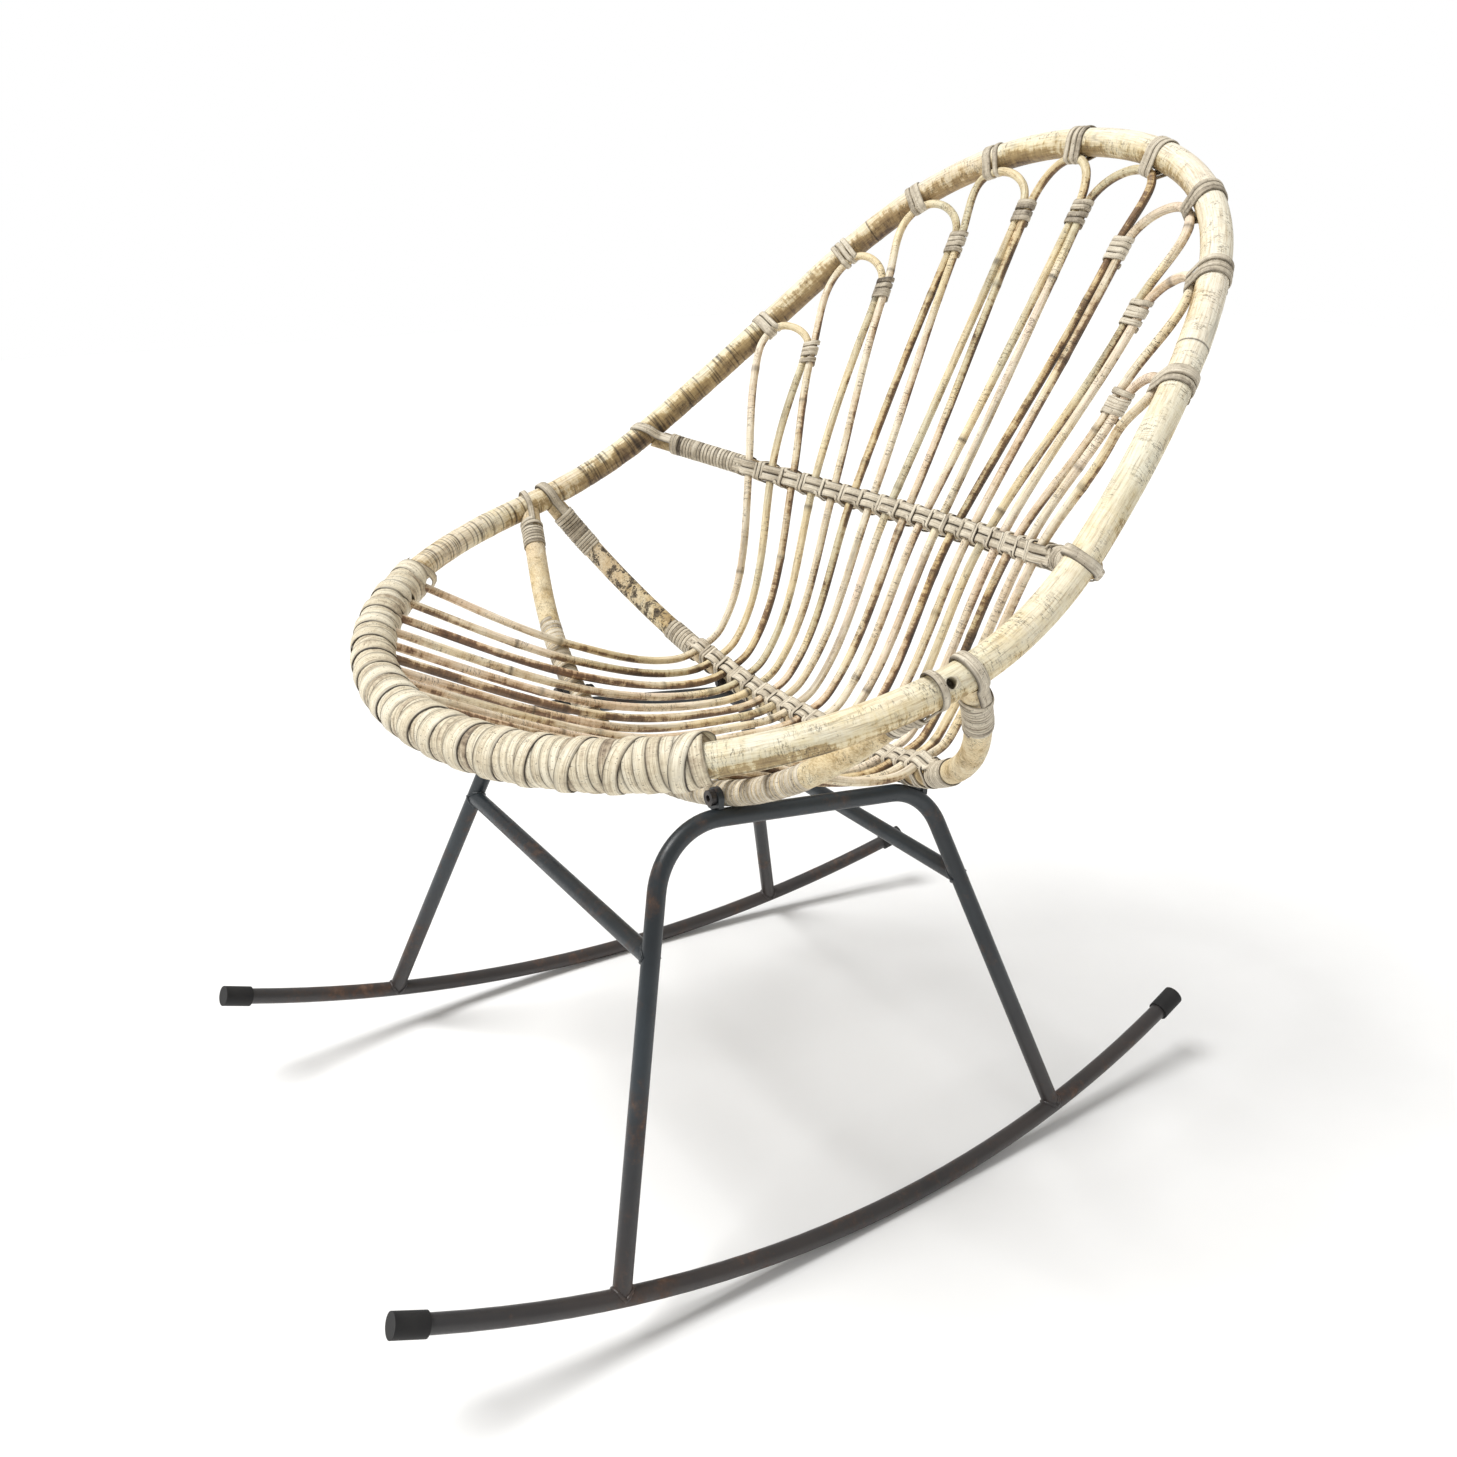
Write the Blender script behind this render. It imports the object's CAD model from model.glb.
# %% [markdown]
# # A rattan rocking chair
# A dished shell of bent rattan poles stands on a frame of bent steel tube. The tubes, lugs,
# bolts, caps and rails of the plain model only get finishes. The rim, the rods and all the
# cane are modelled again, with their nodes, bark and turns. First the plain model is loaded.

# %% Load the plain model
import math
import re
from collections import namedtuple
import bpy
import numpy as np
from mathutils import Matrix, Vector


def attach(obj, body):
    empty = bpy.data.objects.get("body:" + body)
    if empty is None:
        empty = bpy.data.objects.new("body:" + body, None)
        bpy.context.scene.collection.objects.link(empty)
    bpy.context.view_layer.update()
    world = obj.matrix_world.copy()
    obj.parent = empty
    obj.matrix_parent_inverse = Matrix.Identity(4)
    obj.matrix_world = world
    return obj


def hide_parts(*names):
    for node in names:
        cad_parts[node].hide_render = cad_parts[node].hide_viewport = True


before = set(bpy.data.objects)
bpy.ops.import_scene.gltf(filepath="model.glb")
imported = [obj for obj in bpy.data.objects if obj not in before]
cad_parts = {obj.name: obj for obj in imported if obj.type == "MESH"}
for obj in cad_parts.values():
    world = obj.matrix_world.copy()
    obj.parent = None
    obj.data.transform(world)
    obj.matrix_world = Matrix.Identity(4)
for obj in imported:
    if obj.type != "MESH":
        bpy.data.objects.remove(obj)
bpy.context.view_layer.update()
print("nodes in the plain model:", len(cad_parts))

# %% [markdown]
# The shell comes from a few curves: the rim's outline on a dished sheet, three rails that
# hang between points of the rim, and the rods. The plain model's sizes give the same curves
# here, in millimetres with level rockers. The function stood leans them back as the empty
# chair stands, and turns millimetres into metres.

# %% Sizes of the shell, in millimetres and degrees
SEAT_GAP = 0.3
TUBE_R = 7.5
RIM_R, ROD_R, BATTEN_R = 12.5, 4.0, 4.0
ROCKER_R = 1104.0
RIM_LEN, RIM_HALF = 817.0, 353.0
EGG = (0.093, 0.106, -0.04)
SEAT_SLOPE, SEAT_LEN, DISH_R = 16.5, 263.0, 404.0
BACK_SLOPE, BACK_R = 40.0, 1800.0
SHELL_FRONT, SHELL_H = 293.0, 429.0
PITCH_FRONT = 29.5
ROD_DIP, DIP_Y, ROD_LIFT = 9.0, 54.0, 12.5
REST_LEAN = 2.2
ARC_Y, ARC_H = -9.957, 1059.238
STAND_SHIFT, ROLL_H = 22.594, 1059.698


def sin(a):
    return np.sin(np.radians(a))


def cos(a):
    return np.cos(np.radians(a))


def each(f, spots, *first):
    """What a function gives at each of the spots, as rows; what comes first stays the same."""
    return np.array([f(*first, spot) for spot in spots])


def unit(v):
    v = np.asarray(v, float)
    return v / np.linalg.norm(v, axis=-1, keepdims=True)


def square_to(d, v):
    """What is left of v without its share along the direction d."""
    return v - (v @ d) * d


def stood(p):
    """Places in millimetres with level rockers, as metres on the standing chair."""
    p = np.asarray(p, float)
    y, z = p[..., 1] - ARC_Y, p[..., 2] - ARC_H
    lean_c, lean_s = cos(REST_LEAN), sin(REST_LEAN)
    return np.stack([p[..., 0], y * lean_c + z * lean_s + STAND_SHIFT,
                     z * lean_c - y * lean_s + ROLL_H], -1) / 1000


# %% The dished sheet and the rim's outline on it
BEND_END = SEAT_LEN + DISH_R * math.radians(BACK_SLOPE - SEAT_SLOPE)


def sheet_slope(s):
    if s < SEAT_LEN:
        return SEAT_SLOPE
    if s < BEND_END:
        return SEAT_SLOPE + math.degrees((s - SEAT_LEN) / DISH_R)
    return BACK_SLOPE + math.degrees((s - BEND_END) / BACK_R)


def sheet_yz(s):
    if s < SEAT_LEN:
        return np.array([s * cos(SEAT_SLOPE) - SHELL_FRONT, s * sin(SEAT_SLOPE) + SHELL_H])
    start, radius, first = ((SEAT_LEN, DISH_R, SEAT_SLOPE) if s < BEND_END else
                            (BEND_END, BACK_R, BACK_SLOPE))
    a = sheet_slope(s)
    return sheet_yz(start - 0.001) + radius * np.array([sin(a) - sin(first), cos(first) - cos(a)])


def rim_s(t):
    return RIM_LEN / 2 * (1 - cos(t))


def rim_w(t):
    return RIM_HALF * sin(t) * (1 + EGG[0] * cos(t) + EGG[1] * cos(2 * t) + EGG[2] * cos(3 * t))


def rim_pt(t):
    y, z = sheet_yz(rim_s(t))
    return np.array([rim_w(t), y, z])


def rim_dir(t):
    return unit(rim_pt(t + 0.5) - rim_pt(t - 0.5))


def rim_up(t):
    a = sheet_slope(rim_s(t))
    return np.array([0, -sin(a), cos(a)])


def rim_in(t):
    return np.cross(rim_up(t), rim_dir(t))


RIM_T = np.linspace(0, 74, 371)


def rim_at(x, inside=0.0):
    """The place on the rim, in degrees from its front, where a line inside it is x from the middle."""
    widths = [rim_w(t) + inside * rim_in(t)[0] for t in RIM_T]
    return np.interp(x, widths, RIM_T)


print("rim: %.0f mm wide, top at %.0f mm" % (2 * max(rim_w(t) for t in range(180)), rim_pt(180)[2]))

# %% The rails
def slope_dir(a):
    return np.array([0, cos(a), sin(a)])


def steeper(middle, more=0.0, half=1.0):
    """A direction for each x, that slopes by so much more at half the width than in the middle."""
    return lambda x: slope_dir(middle + more * (x / half) ** 2)


# Middle y and z, angle of the plane, half of the flat part, radius and angle of the bend, reach,
# radius of the pole, distance between the rods on it and the rods' direction there
Rail = namedtuple("Rail", "y z plane flat bend turn reach r pitch rods")
FRONT_RAIL = Rail(-82, 342, 74.0469, 0, 378.785, 45.0011, 326.818, 10.0, 22.0, steeper(-16, -5, 187))
REAR_RAIL = Rail(108, 342.5, 125.325, 59, 276.2, 71.9952, 327.609, 10.0, 21.4, steeper(30))
BOW = Rail(219, 531, 161.848, 0, 466.42, 42.1593, 313.281, 9.0, 25.25, steeper(62, 14, 208))


def rail_pt(q, x):
    a, bent = abs(x) - q.flat, q.bend * sin(q.turn)
    if a <= 0:
        rise = 0.0
    elif a < bent:
        rise = q.bend - math.sqrt(q.bend ** 2 - a ** 2)
    else:
        rise = q.bend * (1 - cos(q.turn)) + (a - bent) * math.tan(math.radians(q.turn))
    return np.array([x, q.y + rise * cos(q.plane), q.z + rise * sin(q.plane)])


def rail_dir(q, x):
    return unit(rail_pt(q, x + 0.5) - rail_pt(q, x - 0.5))


def off_rail(q, x):
    """The direction off the rail, square to it and to the rod on it."""
    return unit(np.cross(rail_dir(q, x), q.rods(x)))


def back_x(q, s):
    """Distance from the middle at which a rail is s short of its end, along the pole."""
    arm = (q.reach - q.flat - q.bend * sin(q.turn)) / cos(q.turn)
    if s < arm:
        return q.reach - s * cos(q.turn)
    return q.flat + q.bend * sin(q.turn - math.degrees((s - arm) / q.bend))


# %% [markdown]
# A rod is a hairpin: it starts on the front of the rim, passes over the two seat rails and
# up in front of the bow, turns in a loop inside the rim and comes back as the next leg. Each
# leg is a chain of Hermite curves through its bearing places, with its direction at each.

# %% The rods' paths
PAIR_X = (35, 104, 166, 209, 246)
PAIR_S = (753, 719, 660, 576, 532)
PAIR_DEPTH = (11, 15, 18, 22, 8)
LOOP_AT = (180, 163.6, 148, 132, 115)
front_dir, upturn_dir = steeper(-24, -4, 246), steeper(50, 7, 182)


def over_rail(q, x):
    return rail_pt(q, x) + off_rail(q, x) * (q.r + ROD_R + SEAT_GAP)


def front_n(t):
    return unit(np.cross(rim_dir(t), front_dir(rim_w(t))))


def front_h(t):
    return np.cross(front_n(t), rim_dir(t))


def rod_start(x):
    t = rim_at(x)
    d = front_dir(x)
    side = abs(d @ rim_dir(t))
    reach = math.sqrt((RIM_R + SEAT_GAP) ** 2 - (ROD_LIFT - ROD_R) ** 2)
    return rim_pt(t) + front_n(t) * ROD_LIFT + d * (reach + ROD_R * side) / math.sqrt(1 - side ** 2)


def pair_pt(j, side):
    y, z = sheet_yz(PAIR_S[j])
    a = sheet_slope(PAIR_S[j])
    return np.array([PAIR_X[j] + side * (ROD_R + SEAT_GAP), y + PAIR_DEPTH[j] * sin(a),
                     z - PAIR_DEPTH[j] * cos(a)])


def loop_top(j):
    return rim_pt(LOOP_AT[j]) + rim_in(LOOP_AT[j]) * (RIM_R + ROD_R + SEAT_GAP)


def hermite(p0, d0, p1, d1, steps, pull=1.0):
    """A curve from p0 towards p1, which it stops one step short of."""
    m = pull * np.linalg.norm(p1 - p0)
    f = np.linspace(0, 1, steps + 1)[:-1, None]
    return ((2 * f ** 3 - 3 * f ** 2 + 1) * p0 + (f ** 3 - 2 * f ** 2 + f) * m * d0
            + (3 * f ** 2 - 2 * f ** 3) * p1 + (f ** 3 - f ** 2) * m * d1)


def leg(k):
    """The middle line of leg k, counted from the middle of the chair, up to its pair tie."""
    x0, x1, x3, x4 = ((k - 0.5) * pitch for pitch in (
        PITCH_FRONT, FRONT_RAIL.pitch, REAR_RAIL.pitch, BOW.pitch))
    p0, p5 = rod_start(x0), pair_pt((k - 1) // 2, 0 if k == 9 else -1 if k % 2 else 1)
    p1, p3, p4 = over_rail(FRONT_RAIL, x1), over_rail(REAR_RAIL, x3), over_rail(BOW, x4)
    p2 = np.array([(p1[0] + 2 * p3[0]) / 3, DIP_Y, p3[2] - ROD_DIP])
    p6 = p3 + np.array([(x4 - x3) / 10, 25, 15])
    d4 = unit(BOW.rods(x4) + np.array([1.2 * (p5[0] - p3[0]) / np.linalg.norm(p5 - p3), 0, 0]))
    end = unit(unit(p5 - p4) * [0.5, 1, 1])
    stops = ((p0, front_dir(x0)), (p1, FRONT_RAIL.rods(x1)), (p2, slope_dir(-1)),
             (p3, REAR_RAIL.rods(x3)), (p6, upturn_dir(x3)), (p4, d4), (p5, end))
    curves = [hermite(*a, *b, steps) for a, b, steps in zip(stops, stops[1:], (14, 10, 8, 5, 14, 16))]
    return np.concatenate(curves + [[p5]]), end


def half_hairpin(k):
    """Leg k with its half of the loop."""
    line, end = leg(k)
    top, way = loop_top(k // 2), rim_dir(LOOP_AT[k // 2])
    turn = hermite(line[-1], end, top, way if k % 2 else -way, 14, 1.15)
    return np.concatenate([line, turn[1:], [top]])


def hairpin(j):
    """Hairpin j from front to front; number 0 stands astride the middle."""
    if j == 0:
        a = half_hairpin(1)
        return np.concatenate([a[:-1] * [-1, 1, 1], a[::-1]])
    return np.concatenate([half_hairpin(2 * j)[:-1], half_hairpin(2 * j + 1)[::-1]])


print("longest hairpin: %.0f mm" % max(
    np.linalg.norm(np.diff(hairpin(j), axis=0), axis=1).sum() for j in range(5)))

# %% [markdown]
# Every pole, rod and strip of cane is one section carried along one line. By hand this is a
# flat grid rolled up along the line: its corners move to the rings, the long edges are merged
# and the ends are filled. Each corner keeps where it was on the straight stick as "grain", so
# that bark and fibres follow every bend. "tone" says how pale or brown it is there, and "mark"
# how dark and dirty.

# %% Carry a section along a line
def choose(*pieces):
    """Selects just these pieces, with the first one active."""
    bpy.ops.object.select_all(action="DESELECT")
    for piece in pieces[::-1]:
        piece.select_set(True)
        bpy.context.view_layer.objects.active = piece


def corner_places(piece):
    flat = np.empty(3 * len(piece.data.vertices))
    piece.data.vertices.foreach_get("co", flat)
    return flat.reshape(-1, 3)


def skin(name, rings, grain, tone=0.5, mark=0.0, closed=False, sharp=50):
    """A piece over rings of places in millimetres; grain, tone and mark are per corner."""
    count, around = rings.shape[:2]
    if closed:
        rings = np.concatenate([rings, rings[:1]])
    rows = len(rings)
    choose()
    bpy.ops.mesh.primitive_grid_add(x_subdivisions=rows - 1, y_subdivisions=around, size=1,
                                    location=(0, 0, 0))
    piece = bpy.context.object
    piece.name = piece.data.name = name
    flat = corner_places(piece)
    row = np.rint((flat[:, 0] + 0.5) * (rows - 1)).astype(int)
    col = np.rint((flat[:, 1] + 0.5) * around).astype(int) % around
    piece.data.vertices.foreach_set("co", stood(rings[row, col]).ravel())
    row = np.minimum(row, count - 1)
    for word, kind, key, value in (("grain", "FLOAT_VECTOR", "vector", grain),
                                   ("tone", "FLOAT", "value", tone), ("mark", "FLOAT", "value", mark)):
        value = np.broadcast_to(value, (count, around, 3) if word == "grain" else (count, around))
        corners = piece.data.attributes.new(word, kind, "POINT").data
        corners.foreach_set(key, value[row, col].astype(np.float32).ravel())
    bpy.ops.object.mode_set(mode="EDIT")
    bpy.ops.mesh.select_all(action="SELECT")
    bpy.ops.mesh.remove_doubles(threshold=1e-6)
    if not closed:
        bpy.ops.mesh.fill_holes(sides=0)
    bpy.ops.mesh.select_all(action="SELECT")
    bpy.ops.mesh.normals_make_consistent(inside=False)
    bpy.ops.object.mode_set(mode="OBJECT")
    bpy.ops.object.shade_smooth_by_angle(angle=math.radians(sharp))
    return piece


def joined(name, parts):
    """Several pieces as one, the way small ties are kept together."""
    choose(*parts)
    bpy.ops.object.join()
    parts[0].name = parts[0].data.name = name
    return parts[0]


def length_along(line):
    step = np.linalg.norm(np.diff(line, axis=0), axis=1)
    return np.concatenate([[0], np.cumsum(step)])


def line_frames(line, first, closed=False):
    """Two directions square to a line at each of its places, without any twist."""
    way = unit(np.roll(line, -1, 0) - np.roll(line, 1, 0) if closed else np.gradient(line, axis=0))
    side = [unit(square_to(way[0], first))]
    for d in way[1:]:
        side.append(unit(square_to(d, side[-1])))
    return np.array(side), np.cross(way, side)


SHADE_SIDE = unit(np.array([0.45, 0.6, -0.65]))
GRAIN_UNIT = 10.0


def pole(name, line, radius, sides, first, tone, mark=0.0, closed=False, seed=0, axes=None,
         shade=0.0):
    """A round stick along a line; radius is one number, or one per ring and side. The side
    that never saw the sun, low and to the back, keeps a browner tone by shade."""
    e1, e2 = axes or line_frames(line, np.asarray(first, float), closed)
    angle = np.linspace(0, 2 * np.pi, sides, endpoint=False)
    radius = np.broadcast_to(radius, (len(line), sides))
    out = turned(angle, e1[:, None], e2[:, None])
    tone = tone + shade * np.clip(out @ SHADE_SIDE + 0.25, 0, 1) ** 0.7
    around = radius.mean() * np.array([np.cos(angle), np.sin(angle)])
    along = length_along(line)[:, None] + seed * 137.0
    grain = np.stack(np.broadcast_arrays(*around, along), -1) / GRAIN_UNIT
    return skin(name, line[:, None] + radius[..., None] * out, grain, tone, mark, closed)


# %% [markdown]
# A strip of cane is flat below, gently crowned above and rounded at its edges. It is laid
# round things in turns, so its section is set on a line that runs on the surface of what it
# binds, with its flat side down.

# %% Lay a strip of cane along a line
STRIP_ACROSS = np.array([-1, -0.92, -0.75, -0.4, 0, 0.4, 0.75, 0.92, 1, 0.55, -0.55])
STRIP_OUT = np.array([0.3, 0.74, 0.93, 1.02, 1.06, 1.02, 0.93, 0.74, 0.3, 0.0, 0.0])


def strip(name, line, out, width, thick, tone=0.5, seed=0, tip=1.0, tilt=0.0, dirt=0.5):
    """A flat strip along a line on a surface; out points off the surface at each place."""
    way = unit(np.gradient(line, axis=0))
    out = unit(out - (out * way).sum(-1, keepdims=True) * way)
    across = np.cross(way, out)
    across, out = across * cos(tilt) + out * sin(tilt), out * cos(tilt) - across * sin(tilt)
    aside = (np.broadcast_to(width, len(line)) / 2 * tip)[:, None] * STRIP_ACROSS
    off = thick * STRIP_OUT
    rings = line[:, None] + aside[..., None] * across[:, None] + off[:, None] * out[:, None]
    along = length_along(line)[:, None] + seed * 91.0
    grain = np.stack(np.broadcast_arrays(aside, off, along), -1) / GRAIN_UNIT
    tone = np.broadcast_to(tone, len(line))[:, None]
    return skin(name, rings, grain, tone, dirt * np.abs(STRIP_ACROSS) ** 5, sharp=70)


def turned(angle, e1, e2):
    """Directions turned by angles in radians from e1 towards e2."""
    return np.cos(angle)[:, None] * e1 + np.sin(angle)[:, None] * e2


def on_axes(flat, e1, e2):
    """Places or directions in a plane, given by its two axes."""
    return flat[:, :1] * e1 + flat[:, 1:] * e2


def round_sticks(angle, sticks):
    """The outline of a thread pulled round some sticks, each given by its middle and radius:
    its place and its outward direction at each angle."""
    out = np.stack([np.cos(angle), np.sin(angle)], -1)
    middles = np.array([[np.broadcast_to(m, len(angle)) for m in middle] for middle, r in sticks])
    radii = np.array([r for middle, r in sticks])
    first = ((middles * out.T[None]).sum(1) + radii[:, None]).argmax(0)
    return middles[first, :, np.arange(len(angle))] + radii[first][:, None] * out, out


def drift(line, step, seed):
    """Numbers between -1 and 1, one for each place of a line, that change gently along it."""
    knots = np.random.default_rng(seed).uniform(-1, 1, max(4, int(len(line) / step) + 3))
    return np.interp(np.arange(len(line)) / step, np.arange(len(knots)), knots)


# %% [markdown]
# ## Finishes
# Colours come from nodes and change over every piece. A few helpers keep that readable: they
# add nodes to the finish in hand, set their inputs by name and link what is handed to them.

# %% Helpers for nodes
def add(kind, values=None, **settings):
    """A node in the tree in hand; values go to its inputs and settings to the node itself."""
    node = tree.nodes.new("ShaderNode" + kind)
    for word, value in settings.items():
        setattr(node, word, value)
    for word, value in (values or {}).items():
        if isinstance(value, bpy.types.NodeSocket):
            tree.links.new(value, node.inputs[word])
        else:
            node.inputs[word].default_value = value
    return node


def new_finish(name):
    """A finish with no nodes yet, whose tree is now the one in hand."""
    global tree
    finish = bpy.data.materials.new(name)
    finish.use_nodes = True
    tree = finish.node_tree
    tree.nodes.clear()
    return finish


def in_object():
    return add("TexCoord").outputs["Object"]


def on_mesh(word, socket="Fac"):
    """What each corner of the mesh keeps under a word."""
    return add("Attribute", attribute_name=word).outputs[socket]


def ramp(fac, *stops):
    node = add("ValToRGB", {"Fac": fac})
    bar = node.color_ramp.elements
    while len(bar) < len(stops):
        bar.new(0.5)
    for stop, (place, *colour) in zip(bar, stops):
        stop.position = place
        stop.color = (*colour, 1)
    return node.outputs["Color"]


def grey(fac, low, high, a=0.0, b=1.0):
    """A value between low and high, carried over to between a and b."""
    return add("MapRange", {"Value": fac, "From Min": low, "From Max": high,
                            "To Min": a, "To Max": b}).outputs["Result"]


def stretched(where, stretch, shift=(0, 0, 0)):
    return add("Mapping", {"Vector": where, "Scale": stretch, "Location": shift}).outputs[0]


def noise(where, scale, detail=4.0, rough=0.55, stretch=(1, 1, 1), shift=(0, 0, 0)):
    return add("TexNoise", {"Vector": stretched(where, stretch, shift), "Scale": scale,
                            "Detail": detail, "Roughness": rough}).outputs["Fac"]


def mixed(fac, a, b, way="MIX"):
    a, b = ((*c, 1) if isinstance(c, tuple) else c for c in (a, b))
    return add("Mix", {0: fac, 6: a, 7: b}, data_type="RGBA", blend_type=way).outputs[2]


def maths(way, a, b=0.0):
    return add("Math", {0: a, 1: b}, operation=way, use_clamp=way in ("MULTIPLY", "ADD")).outputs[0]


def times(a, b):
    return maths("MULTIPLY", a, b)


def drifted(value, *clouds):
    """A value that drifts up and down with clouds, each a noise and how far it reaches."""
    for cloud, reach in clouds:
        value = maths("ADD", value, grey(cloud, 0.3, 0.7, -reach, reach))
    return value


def surface(colour, roughness, *bumps, **values):
    """The shader. Its bumps are stacked, each a height, its strength and its depth in metres."""
    under = {}
    for height, strength, depth in bumps:
        under = {"Normal": add("Bump", {"Height": height, "Strength": strength, "Distance": depth,
                                        **under}).outputs["Normal"]}
    constants = {word.replace("_", " "): value for word, value in values.items()}
    shader = add("BsdfPrincipled", {"Base Color": colour, "Roughness": roughness, **under, **constants})
    add("OutputMaterial", {"Surface": shader.outputs["BSDF"]})


# %% [markdown]
# Bleached rattan bark is ivory with long soft streaks, hairline cracks along the grain and
# across it, grey-brown specks and dark rings at its nodes. The poles and rods share one
# recipe and differ in their colours: "tone" slides from ivory over straw to brown, and
# "mark" puts in the dark rings and the grime.

# %% The bark finish
DIRT_EDGE = 0.005


def bark(name, tones, ragged, streak, crack_amount, speck_amount, hue_amount, grimy=None):
    """Bark that peels: the pale tone and the brown one meet in ragged edges that run round the
    pole. For a rail of the plain model, grimy says from where to where dirt lies on it."""
    finish = new_finish(name)
    if grimy:
        spot = in_object()
        where = stretched(spot, (100, 100, 100))
        along, around = (0.35, 1.6, 1.6), (2.4, 0.6, 0.6)
        tone = grey(noise(where, 0.3, 3), 0.3, 0.7, 0.15, 0.6)
        x = add("SeparateXYZ", {"Vector": spot}).outputs["X"]
        here = times(grey(x, grimy[0] - DIRT_EDGE, grimy[0] + DIRT_EDGE),
                     grey(x, grimy[1] - DIRT_EDGE, grimy[1] + DIRT_EDGE, 1, 0))
        mark = times(here, grey(noise(where, 0.9, 5, 0.75, (1.6, 1, 1)), 0.5, 0.53, 0, 0.95))
    else:
        where, tone, mark = on_mesh("grain", "Vector"), on_mesh("tone"), on_mesh("mark")
        along, around = (1, 1, 0.07), (0.5, 0.5, 2.2)
    cloud = noise(where, 0.55, 5, 0.6, (1, 1, 0.45))
    fringe = noise(where, 1.3, 5, 0.7, around, (4, 2, 6))
    fine = noise(where, 7.0, 6, 0.65, along)
    coarse = noise(where, 2.4, 5, 0.6, along, (3, 5, 1))
    shade = drifted(tone, (cloud, 0.22), (fringe, ragged), (coarse, streak))
    colour = mixed(grey(fine, 0.45, 0.7, 0, 0.6), ramp(shade, *tones), (0.45, 0.33, 0.2), "MULTIPLY")
    hue = ramp(noise(where, 0.09, 2, 0.5, (1, 1, 0.6), (3, 3, 7)), (0.38, 1.0, 0.88, 0.84),
               (0.48, 1.0, 0.99, 0.96), (0.56, 1.0, 0.92, 0.72), (0.64, 0.8, 0.8, 0.69))
    colour = mixed(hue_amount, colour, hue, "MULTIPLY")
    split = add("TexVoronoi", {"Vector": stretched(where, along), "Scale": 1.7},
                feature="DISTANCE_TO_EDGE")
    split = times(grey(split.outputs["Distance"], 0.0, 0.05, 1, 0),
                  grey(noise(where, 0.9, 3, 0.5, (1, 1, 0.3), (7, 1, 4)), 0.52, 0.62,
                       0, crack_amount * 0.5))
    cross = noise(where, 1.5, 3, 0.55, around, (8, 3, 5))
    cross = times(grey(maths("ABSOLUTE", maths("SUBTRACT", cross, 0.5)), 0.004, 0.016, 1, 0),
                  grey(noise(where, 0.6, 3, 0.5, (1, 1, 0.6), (2, 9, 6)), 0.48, 0.58,
                       0, crack_amount))
    crack = maths("MAXIMUM", split, cross)
    speck = times(grey(noise(where, 9, 3, 0.5, (1, 1, 0.5)), 0.62, 0.68),
                  grey(fringe, 0.45, 0.6, 0, speck_amount))
    grime = maths("MAXIMUM", maths("MAXIMUM", crack, speck), mark)
    grime = times(grime, grey(coarse, 0.2, 0.75, 0.6, 1.15))
    rough = maths("ADD", grey(fine, 0.3, 0.7, 0.42, 0.66), times(grime, 0.2))
    surface(mixed(grime, colour, (0.035, 0.025, 0.018)), rough, (coarse, 0.5, 0.0006),
            (fine, 0.35, 0.0003), (shade, 0.5, 0.0012),
            (maths("SUBTRACT", 1.0, crack), 0.7, 0.0006), Specular_IOR_Level=0.42)
    return finish


rim_bark = bark("bleached rim bark", (
    (0.0, 0.92, 0.87, 0.72), (0.36, 0.86, 0.77, 0.55), (0.47, 0.74, 0.62, 0.38),
    (0.51, 0.52, 0.39, 0.2), (0.75, 0.36, 0.26, 0.13), (1.0, 0.13, 0.085, 0.05)),
    0.16, 0.08, 0.75, 0.55, 0.35)
rod_bark = bark("weathered rod bark", (
    (0.0, 0.9, 0.83, 0.68), (0.34, 0.8, 0.7, 0.51), (0.48, 0.6, 0.46, 0.28),
    (0.54, 0.26, 0.165, 0.095), (0.8, 0.12, 0.08, 0.055), (1.0, 0.05, 0.037, 0.028)),
    0.12, 0.13, 0.9, 0.85, 0.85)
RAIL_TONES = ((0.0, 0.88, 0.8, 0.6), (0.4, 0.76, 0.63, 0.4), (0.6, 0.52, 0.39, 0.2),
              (1.0, 0.22, 0.15, 0.08))
rail_bark = bark("tan rail bark", RAIL_TONES, 0.08, 0.12, 0.8, 0.7, 0.3, (-0.244, -0.243))
rear_rail_bark = bark("grimy rail bark", RAIL_TONES, 0.1, 0.12, 0.9, 0.7, 0.3, (-0.3, -0.2))

# %% [markdown]
# The cane and the wide peel are split from the same vine, so they show straight fibres from
# end to end. They are thirsty and grey sooner, and dirt settles along their edges.

# %% The split cane finish
def split_cane(name, fibre, *tones):
    finish = new_finish(name)
    where = on_mesh("grain", "Vector")
    threads = noise(where, 11.0, 4, 0.6, (1, 1, 0.035))
    bands = noise(where, 3.2, 4, 0.6, (1, 1, 0.1), (5, 2, 8))
    cloud = noise(where, 0.45, 4, 0.6, (1, 1, 0.5), (1, 8, 3))
    flake = noise(where, 2.6, 4, 0.65, (0.5, 0.5, 1.3), (6, 1, 2))
    shade = drifted(on_mesh("tone"), (cloud, 0.3), (bands, 0.16))
    shade = maths("ADD", shade, grey(flake, 0.35, 0.65, -0.12, 0.16))
    colour = mixed(grey(threads, 0.47, 0.68, 0, fibre), ramp(shade, *tones), (0.3, 0.24, 0.18),
                   "MULTIPLY")
    speck = grey(noise(where, 8, 3, 0.5, (0.6, 0.6, 1.4), (3, 3, 9)), 0.63, 0.69, 0, 0.7)
    grime = maths("MAXIMUM", speck, times(on_mesh("mark"), grey(bands, 0.3, 0.7, 0.45, 1.5)))
    surface(mixed(grime, colour, (0.045, 0.033, 0.024)), grey(threads, 0.3, 0.7, 0.5, 0.72),
            (threads, 0.6, 0.0004), (bands, 0.4, 0.0005), Specular_IOR_Level=0.35)
    return finish


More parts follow.
